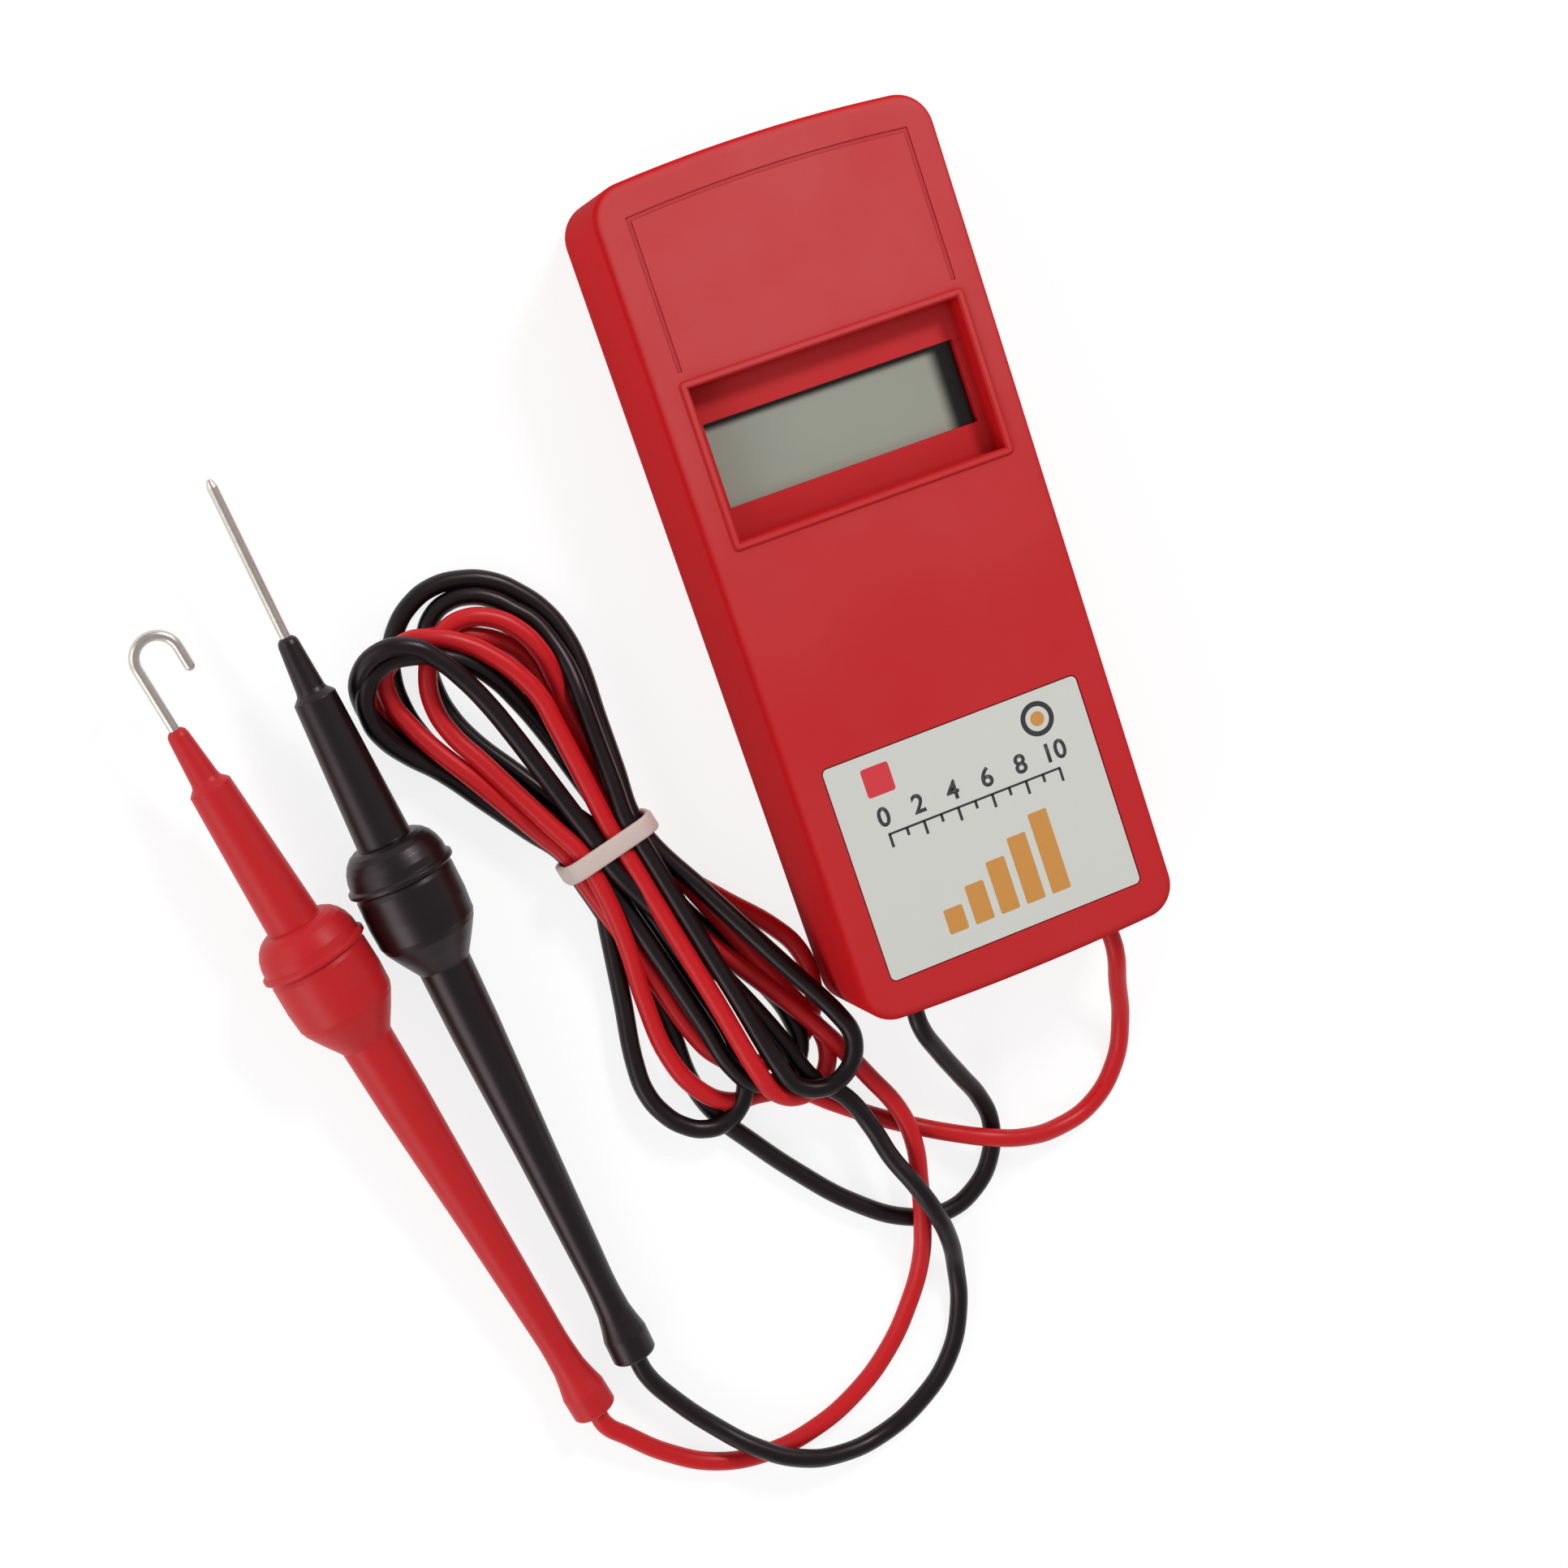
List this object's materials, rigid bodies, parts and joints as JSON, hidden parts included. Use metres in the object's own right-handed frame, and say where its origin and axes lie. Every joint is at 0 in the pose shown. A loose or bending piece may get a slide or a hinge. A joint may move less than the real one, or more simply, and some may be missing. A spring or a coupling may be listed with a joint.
{
  "type": "digital fence voltmeter",
  "caption": "Handheld digital voltmeter: moulded case with sunk display window and face label, and two hard-wired insulated probes, one ending in a needle and one in a hook.",
  "frame": {"origin": "centre of the case's footprint, on the surface that its back rests on", "axes": "+X across the case to its right, +Y along the case towards the display end, +Z out of the face"},
  "size_m": [0.1574, 0.2315, 0.0275],
  "materials": {
    "case_plastic": "semi-gloss moulded ABS with a very fine texture",
    "foam": "closed-cell foam",
    "battery_shell": "satin printed jacket, bare of print",
    "black_plastic": "satin moulding",
    "display_glass": "grey-green liquid crystal cell under a polariser",
    "silicone": "soft conductive strip",
    "board": "solder-masked laminate",
    "resistor_body": "lacquered",
    "capacitor_body": "dipped",
    "trimmer_body": "moulded",
    "white_plastic": "moulded",
    "switch_can": "plated",
    "label": "printed film, light grey",
    "screw_steel": "zinc plated",
    "black_rubber": "soft bush",
    "black_lead": "silicone-jacketed flexible lead",
    "red_lead": "silicone-jacketed flexible lead",
    "probe_steel": "nickel plated wire",
    "black_probe": "satin insulated moulding",
    "red_probe": "satin insulated moulding",
    "tie": "off-white rubber band"
  },
  "bodies": {
    "root": {"front_shell": "case_plastic", "rear_cover": "case_plastic", "battery": "battery_shell", "battery_snap": "black_plastic", "display_glass": "display_glass", "display_frame": "black_plastic", "contact_strips": "silicone", "main_board": "board", "display_driver": "black_plastic", "divider_resistors": "resistor_body", "capacitors": "capacitor_body", "trimmer": "trimmer_body", "power_switch": "switch_can", "face_label": "label", "cover_screws": "screw_steel", "board_screws": "screw_steel", "lead_grommets": "black_rubber", "inner_leads": "black_lead", "black_needle": "probe_steel", "red_hook": "probe_steel", "black_barrel": "black_probe", "red_barrel": "red_probe", "black_handle": "black_probe", "red_handle": "red_probe", "probe_resistors": "resistor_body", "black_case_lead": "black_lead", "red_case_lead": "red_lead", "black_probe_lead": "black_lead", "red_probe_lead": "red_lead", "lead_hank": "black_lead", "hank_tie": "tie"},
    "door": {"battery_door": "case_plastic", "door_pad": "foam"},
    "slider": {"switch_slider": "black_plastic"},
    "rotor": {"trimmer_rotor": "white_plastic"}
  },
  "joints": [
    {"name": "battery_door_swing", "type": "hinge", "parent": "root", "child": "door", "pos_m": [0, -0.0173, 0.0012], "axis": [1, 0, 0], "range_deg": [0, 60]},
    {"name": "power_switch_slide", "type": "slide", "parent": "root", "child": "slider", "axis": [0, 1, 0], "range_m": [0, 0.0036]},
    {"name": "trimmer_turn", "type": "hinge", "parent": "root", "child": "rotor", "pos_m": [-0.02, 0.006, 0.0076], "axis": [0, 0, -1], "range_deg": [-130, 130]}
  ]
}
